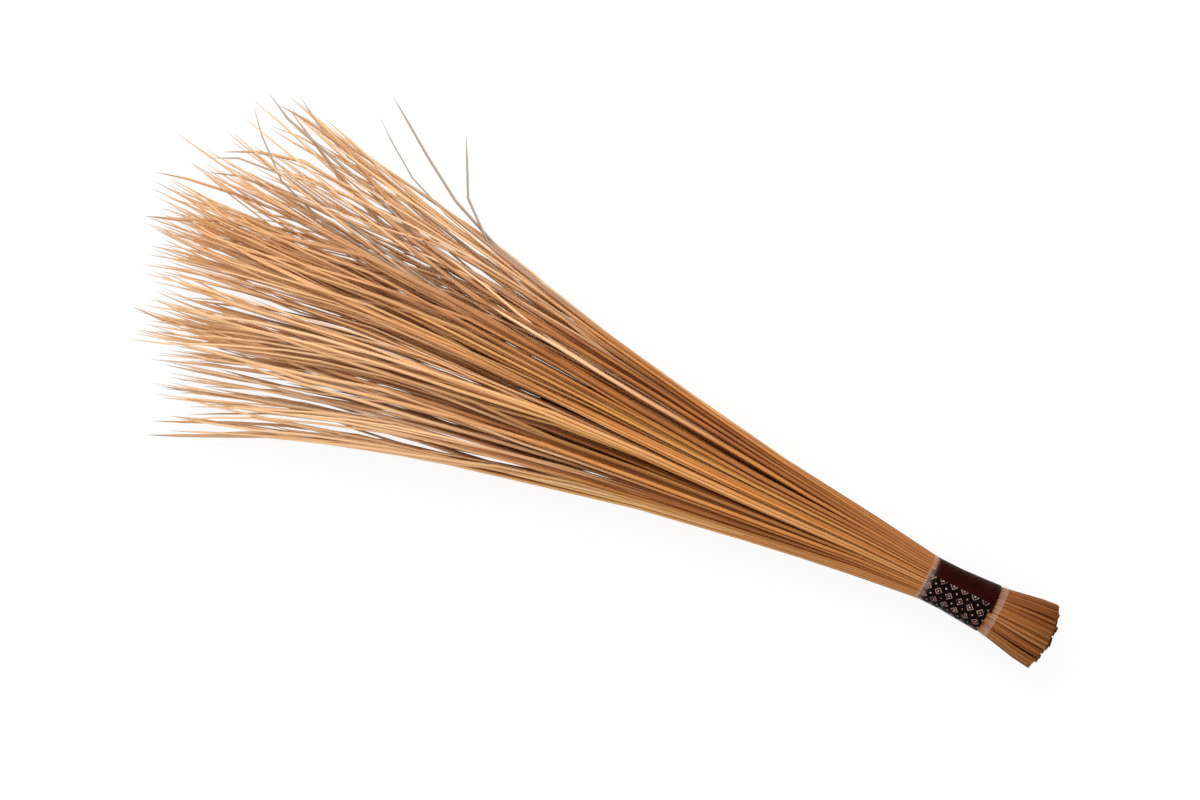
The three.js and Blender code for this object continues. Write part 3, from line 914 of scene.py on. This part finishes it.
def steel_material(settings):
    """Brushed steel with fine lines round the ring and a few dull spots."""
    shader = Shader("brushed steel", Metallic=1.0, Roughness=0.36)
    place = shader.place()
    stretched = shader.node("ShaderNodeMapping", None, {"Vector": place, "Scale": (2600, 60, 60)})
    lines = shader.noise(stretched, 1.0, 2.0, 0.6)
    dull = shader.noise(place, 220, 3.0, 0.6).between(0.5, 0.75)
    colour = shader.mix(dull, settings.steel_colour, settings.rust_colour)
    shader.set(shader.surface, {"Base Color": colour, "Roughness": 0.30 + lines * 0.2 + dull * 0.2})
    shader.bump(lines, 0.00005, 0.5)
    return shader.material


def floor_material(settings):
    """Pale floor that shows as white to the camera and in reflections, and keeps a soft
    shadow."""
    shader = Shader("pale floor", Roughness=0.9, Specular_IOR_Level=0.1)
    seen = shader.node("ShaderNodeLightPath", None, None, "Is Camera Ray")
    for label in ("Is Glossy Ray", "Is Transmission Ray"):
        seen = seen.math("MAXIMUM", shader.node("ShaderNodeLightPath", None, None, label))
    shader.set(shader.surface, {"Base Color": settings.floor_colour})
    glow = shader.node("ShaderNodeEmission", None, {"Color": (1, 1, 1), "Strength": 1.0})
    mixed = shader.node("ShaderNodeMixShader", None, {
        0: seen * settings.floor_glow, 1: Value(shader, shader.surface.outputs[0]), 2: glow})
    shader.set(shader.output, {"Surface": mixed})
    return shader.material


def colour_property(name, description, default):
    return FloatVectorProperty(name=name, description=description, default=linear(*default),
                               subtype="COLOR", size=3, min=0, max=1)


def length_property(name, description, default):
    return FloatProperty(name=name, description=description, default=default, unit="LENGTH")


class RibSettings(bpy.types.PropertyGroup):
    """Sizes and colours of the ribs"""

    count: IntProperty(name="Ribs", description="How many ribs the broom is bound from",
                       default=440, min=300, max=500)
    clumps: IntProperty(name="Clumps", description="How many clumps of ribs share a tone",
                        default=120, min=1, max=300)
    seed: IntProperty(name="Seed", description="Start of the ribs' chance values", default=10)
    thickness: length_property("Thickness", "Usual thickness of a rib at the waist", 0.00178)
    wander: length_property("Wander", "How far a tip strays from its place", 0.0085)
    curl: length_property("Curl", "How far a tip curls aside", 0.0135)
    bend: length_property("Bend", "How far the upper tips bend in towards the middle", 0.0140)
    wave: length_property("Wave", "Height of the waves along a rib", 0.0026)
    wiggle: length_property("Wiggle", "Height of the short waves near a tip", 0.0019)
    dark_colour: colour_property("Dark", "Darkest rib", (100, 48, 10))
    brown_colour: colour_property("Brown", "Brown rib", (157, 96, 50))
    orange_colour: colour_property("Orange", "Usual rib", (213, 143, 76))
    blond_colour: colour_property("Blond", "Palest rib", (236, 190, 132))
    straw_colour: colour_property("Straw", "Yellower rib", (198, 150, 80))
    tip_colour: colour_property("Tip", "Rib near its tip", (236, 192, 146))
    grey_colour: colour_property("Grey", "Weathered rib", (166, 154, 140))
    # The cut end's colour, partly a darkened cut and partly painted shade of the end faces
    cut_and_shade_colour: colour_property("Cut end", "Cut end of a rib", (58, 26, 14))


class WrapSettings(bpy.types.PropertyGroup):
    """Colours of the ring, the band and the film"""

    maroon_colour: colour_property("Maroon", "Plain half of the band", (42, 9, 5))
    deep_colour: colour_property("Deep maroon", "Shaded parts of the plain half", (31, 5, 2))
    black_colour: colour_property("Black", "Ground of the printed half", (14, 6, 4))
    cream_colour: colour_property("Cream", "Paler print", (176, 152, 136))
    pink_colour: colour_property("Pink", "Pinker print", (158, 112, 106))
    film_colour: colour_property("Film", "Tint of the clear film", (210, 184, 170))
    film_cover: FloatProperty(name="Film cover", description="How much the film's edges cover",
                              default=0.15, min=0, max=1, subtype="FACTOR")
    steel_colour: colour_property("Steel", "Steel of the ring", (150, 151, 153))
    rust_colour: colour_property("Dull spots", "Dull spots on the ring", (96, 78, 66))


class StudioSettings(bpy.types.PropertyGroup):
    """Camera, floor and lights"""

    camera_height: length_property("Camera height", "Camera above the floor", 3.2)
    camera_turn: FloatProperty(name="Camera turn", description="Turn of the picture on the broom",
                               default=math.radians(27), unit="ROTATION")
    view_width: length_property("View width", "Width that the picture takes in", 1.08)
    view_middle: FloatVectorProperty(name="View middle", description="Point below the camera",
                                     default=(-0.0073, 0.0333), size=2, unit="LENGTH")
    floor_colour: colour_property("Floor", "Colour of the floor", (238, 238, 238))
    floor_glow: FloatProperty(name="Floor glow", description="How far the floor shows as white",
                              default=0.90, min=0, max=1, subtype="FACTOR")
    sky_strength: FloatProperty(name="Sky", description="Light from all round", default=0.84)
    key_power: FloatProperty(name="Key light", description="Light from above and beside",
                             default=37.0, unit="POWER")
    fill_power: FloatProperty(name="Fill light", description="Light from the other side",
                              default=9.0, unit="POWER")


class BROOM_OT_ribs(bpy.types.Operator):
    """Builds the four hanks of ribs"""

    bl_idname = "broom.ribs"
    bl_label = "Ribs"

    def execute(self, context):
        settings = context.scene.broom_ribs
        ribs = Ribs(settings)
        stations = ribs.stations()
        radius = ribs.thickness(stations)
        middles = ribs.middles(stations, radius)
        ribs.guide(stations, middles, radius, context.scene.broom_studio)
        hank_of = np.searchsorted(HANK_EDGES, ribs.across)
        look = rib_material(settings)
        for hank in range(len(HANK_EDGES) + 1):
            name = f"ribs_of_hank_{hank + 1}"
            mesh = rib_mesh(name, ribs, hank_of == hank, middles, radius, stations)
            mesh.materials.append(look)
            piece = add_object(name, mesh)
            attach(piece, "root")
            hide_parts(f"rib_hank_{hank + 1}")
        return {"FINISHED"}


class BROOM_OT_ring(bpy.types.Operator):
    """Gives the steel ring its finish"""

    bl_idname = "broom.ring"
    bl_label = "Ring"

    def execute(self, context):
        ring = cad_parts["binding_ring"]
        ring.data.materials.clear()
        ring.data.materials.append(steel_material(context.scene.broom_wraps))
        return {"FINISHED"}


class BROOM_OT_band(bpy.types.Operator):
    """Winds the printed band over the ring"""

    bl_idname = "broom.band"
    bl_label = "Printed band"

    def execute(self, context):
        winding = Winding(**BAND)
        ripple = BAND_RIPPLE * winding.ripple
        outside = winding.points(winding.thickness + ripple)
        inside = winding.points(ripple)
        mesh, faces = strip_mesh("band", outside, inside)
        width = np.broadcast_to(winding.station, outside.shape[:2])
        length = winding.turns * 2 * math.pi * PRINT_RADIUS
        length = np.broadcast_to(length, outside.shape[:2])
        places = np.stack([length, width], axis=-1).reshape(-1, 2)
        add_map(mesh, faces, "print", np.concatenate([places, places]))
        mesh.materials.append(band_material(context.scene.broom_wraps))
        piece = add_object("band_with_print", mesh)
        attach(piece, "root")
        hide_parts("printed_band")
        return {"FINISHED"}


class BROOM_OT_film(bpy.types.Operator):
    """Winds the clear film over the band"""

    bl_idname = "broom.film"
    bl_label = "Clear film"

    def execute(self, context):
        winding = Winding(**FILM)
        loose = sum(smooth(*ends, winding.station) for ends in FILM_MARGINS)
        lift = FILM_LIFT + (FILM_RIPPLE + LOOSE_RIPPLE * loose) * winding.ripple
        outside = winding.points(lift + winding.thickness)
        inside = winding.points(lift)
        mesh, faces = strip_mesh("film", outside, inside)
        station = np.broadcast_to(winding.station, outside.shape[:2]).reshape(-1)
        inset = np.minimum(station - FILM["butt_edge"], FILM["fan_edge"] - station)
        edge = 1 - smooth(*VEIL_FADES, inset)
        attribute = mesh.attributes.new("film_edge", "FLOAT", "POINT")
        attribute.data.foreach_set("value", np.concatenate([edge, edge]))
        mesh.materials.append(film_material(context.scene.broom_wraps))
        piece = add_object("film_overwrap", mesh)
        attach(piece, "root")
        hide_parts("clear_film")
        return {"FINISHED"}


FLOOR_HALF_SIZE = 6.0
# Just under the ribs, so that no face of theirs lies in the floor
FLOOR_HEIGHT = -0.0003
# Each lamp's name, its place beside the picture's middle, along x from there and over the floor,
# and its size
LAMPS = (("key_light", 1.3, -0.5, 1.9, 1.6), ("fill_light", -1.6, 0.6, 1.5, 2.2))


def area_light(name, power, size, place, target):
    """A square lamp that faces a point."""
    lamp = bpy.data.lights.new(name, "AREA")
    lamp.energy = power
    lamp.size = size
    light = bpy.data.objects.new(name, lamp)
    way = np.array(target) - np.array(place)
    light.location = place
    light.rotation_euler = (math.atan2(math.hypot(way[0], way[1]), -way[2]), 0,
                            math.atan2(way[1], way[0]) - math.pi / 2)
    bpy.context.scene.collection.objects.link(light)


class BROOM_OT_studio(bpy.types.Operator):
    """Lays the floor and sets the lights and the camera"""

    bl_idname = "broom.studio"
    bl_label = "Studio"

    def execute(self, context):
        settings = context.scene.broom_studio
        corners = np.array([(-1, -1), (1, -1), (1, 1), (-1, 1)]) * FLOOR_HALF_SIZE
        mesh = bpy.data.meshes.new("floor")
        mesh.from_pydata(np.column_stack([corners, np.full(4, FLOOR_HEIGHT)]), [], [(0, 1, 2, 3)])
        mesh.materials.append(floor_material(settings))
        add_object("floor", mesh)

        turn = settings.camera_turn
        middle = settings.view_middle
        side = np.array([-math.sin(turn), math.cos(turn)])
        powers = (settings.key_power, settings.fill_power)
        for (name, beside, along, height, size), power in zip(LAMPS, powers):
            x, y = np.array(middle[:]) + side * beside
            area_light(name, power, size, (x + along, y, height), (*middle, 0))

        world = bpy.data.worlds.new("studio")
        world.use_nodes = True
        background = world.node_tree.nodes["Background"]
        background.inputs["Color"].default_value = (1, 1, 1, 1)
        background.inputs["Strength"].default_value = settings.sky_strength
        context.scene.world = world

        lens = bpy.data.cameras.new("camera")
        lens.sensor_fit = "HORIZONTAL"
        lens.sensor_width = 36
        lens.lens = lens.sensor_width * (settings.camera_height - AXIS_Z) / settings.view_width
        camera = bpy.data.objects.new("camera", lens)
        camera.location = (*middle, settings.camera_height)
        camera.rotation_euler = (0, 0, turn)
        context.scene.collection.objects.link(camera)
        context.scene.camera = camera
        context.scene.view_settings.view_transform = "Standard"
        return {"FINISHED"}


class BROOM_PT_panel(bpy.types.Panel):
    """Lists the broom's pieces in the sidebar"""

    bl_idname = "BROOM_PT_panel"
    bl_label = "Stick Broom"
    bl_space_type = "VIEW_3D"
    bl_region_type = "UI"
    bl_category = "Broom"

    def draw(self, context):
        column = self.layout.column()
        for operator, group, names in STEPS:
            column.operator(operator)
            settings = getattr(context.scene, group)
            for name in names:
                column.prop(settings, name)


STEPS = (
    ("broom.ribs", "broom_ribs", ("count", "thickness", "wander", "orange_colour")),
    ("broom.ring", "broom_wraps", ("steel_colour",)),
    ("broom.band", "broom_wraps", ("maroon_colour", "black_colour", "cream_colour")),
    ("broom.film", "broom_wraps", ("film_colour", "film_cover")),
    ("broom.studio", "broom_studio", ("camera_height", "floor_colour", "key_power")),
)
CLASSES = (RibSettings, WrapSettings, StudioSettings, BROOM_OT_ribs, BROOM_OT_ring,
           BROOM_OT_band, BROOM_OT_film, BROOM_OT_studio, BROOM_PT_panel)
GROUPS = {"broom_ribs": RibSettings, "broom_wraps": WrapSettings, "broom_studio": StudioSettings}


def register():
    for kind in CLASSES:
        bpy.utils.register_class(kind)
    for name, kind in GROUPS.items():
        setattr(bpy.types.Scene, name, PointerProperty(type=kind))


def unregister():
    for name in GROUPS:
        delattr(bpy.types.Scene, name)
    for kind in reversed(CLASSES):
        bpy.utils.unregister_class(kind)


def main():
    """Builds every piece in turn."""
    register()
    bpy.ops.broom.ribs()
    bpy.ops.broom.ring()
    bpy.ops.broom.band()
    bpy.ops.broom.film()
    bpy.ops.broom.studio()


if __name__ == "__main__":
    main()
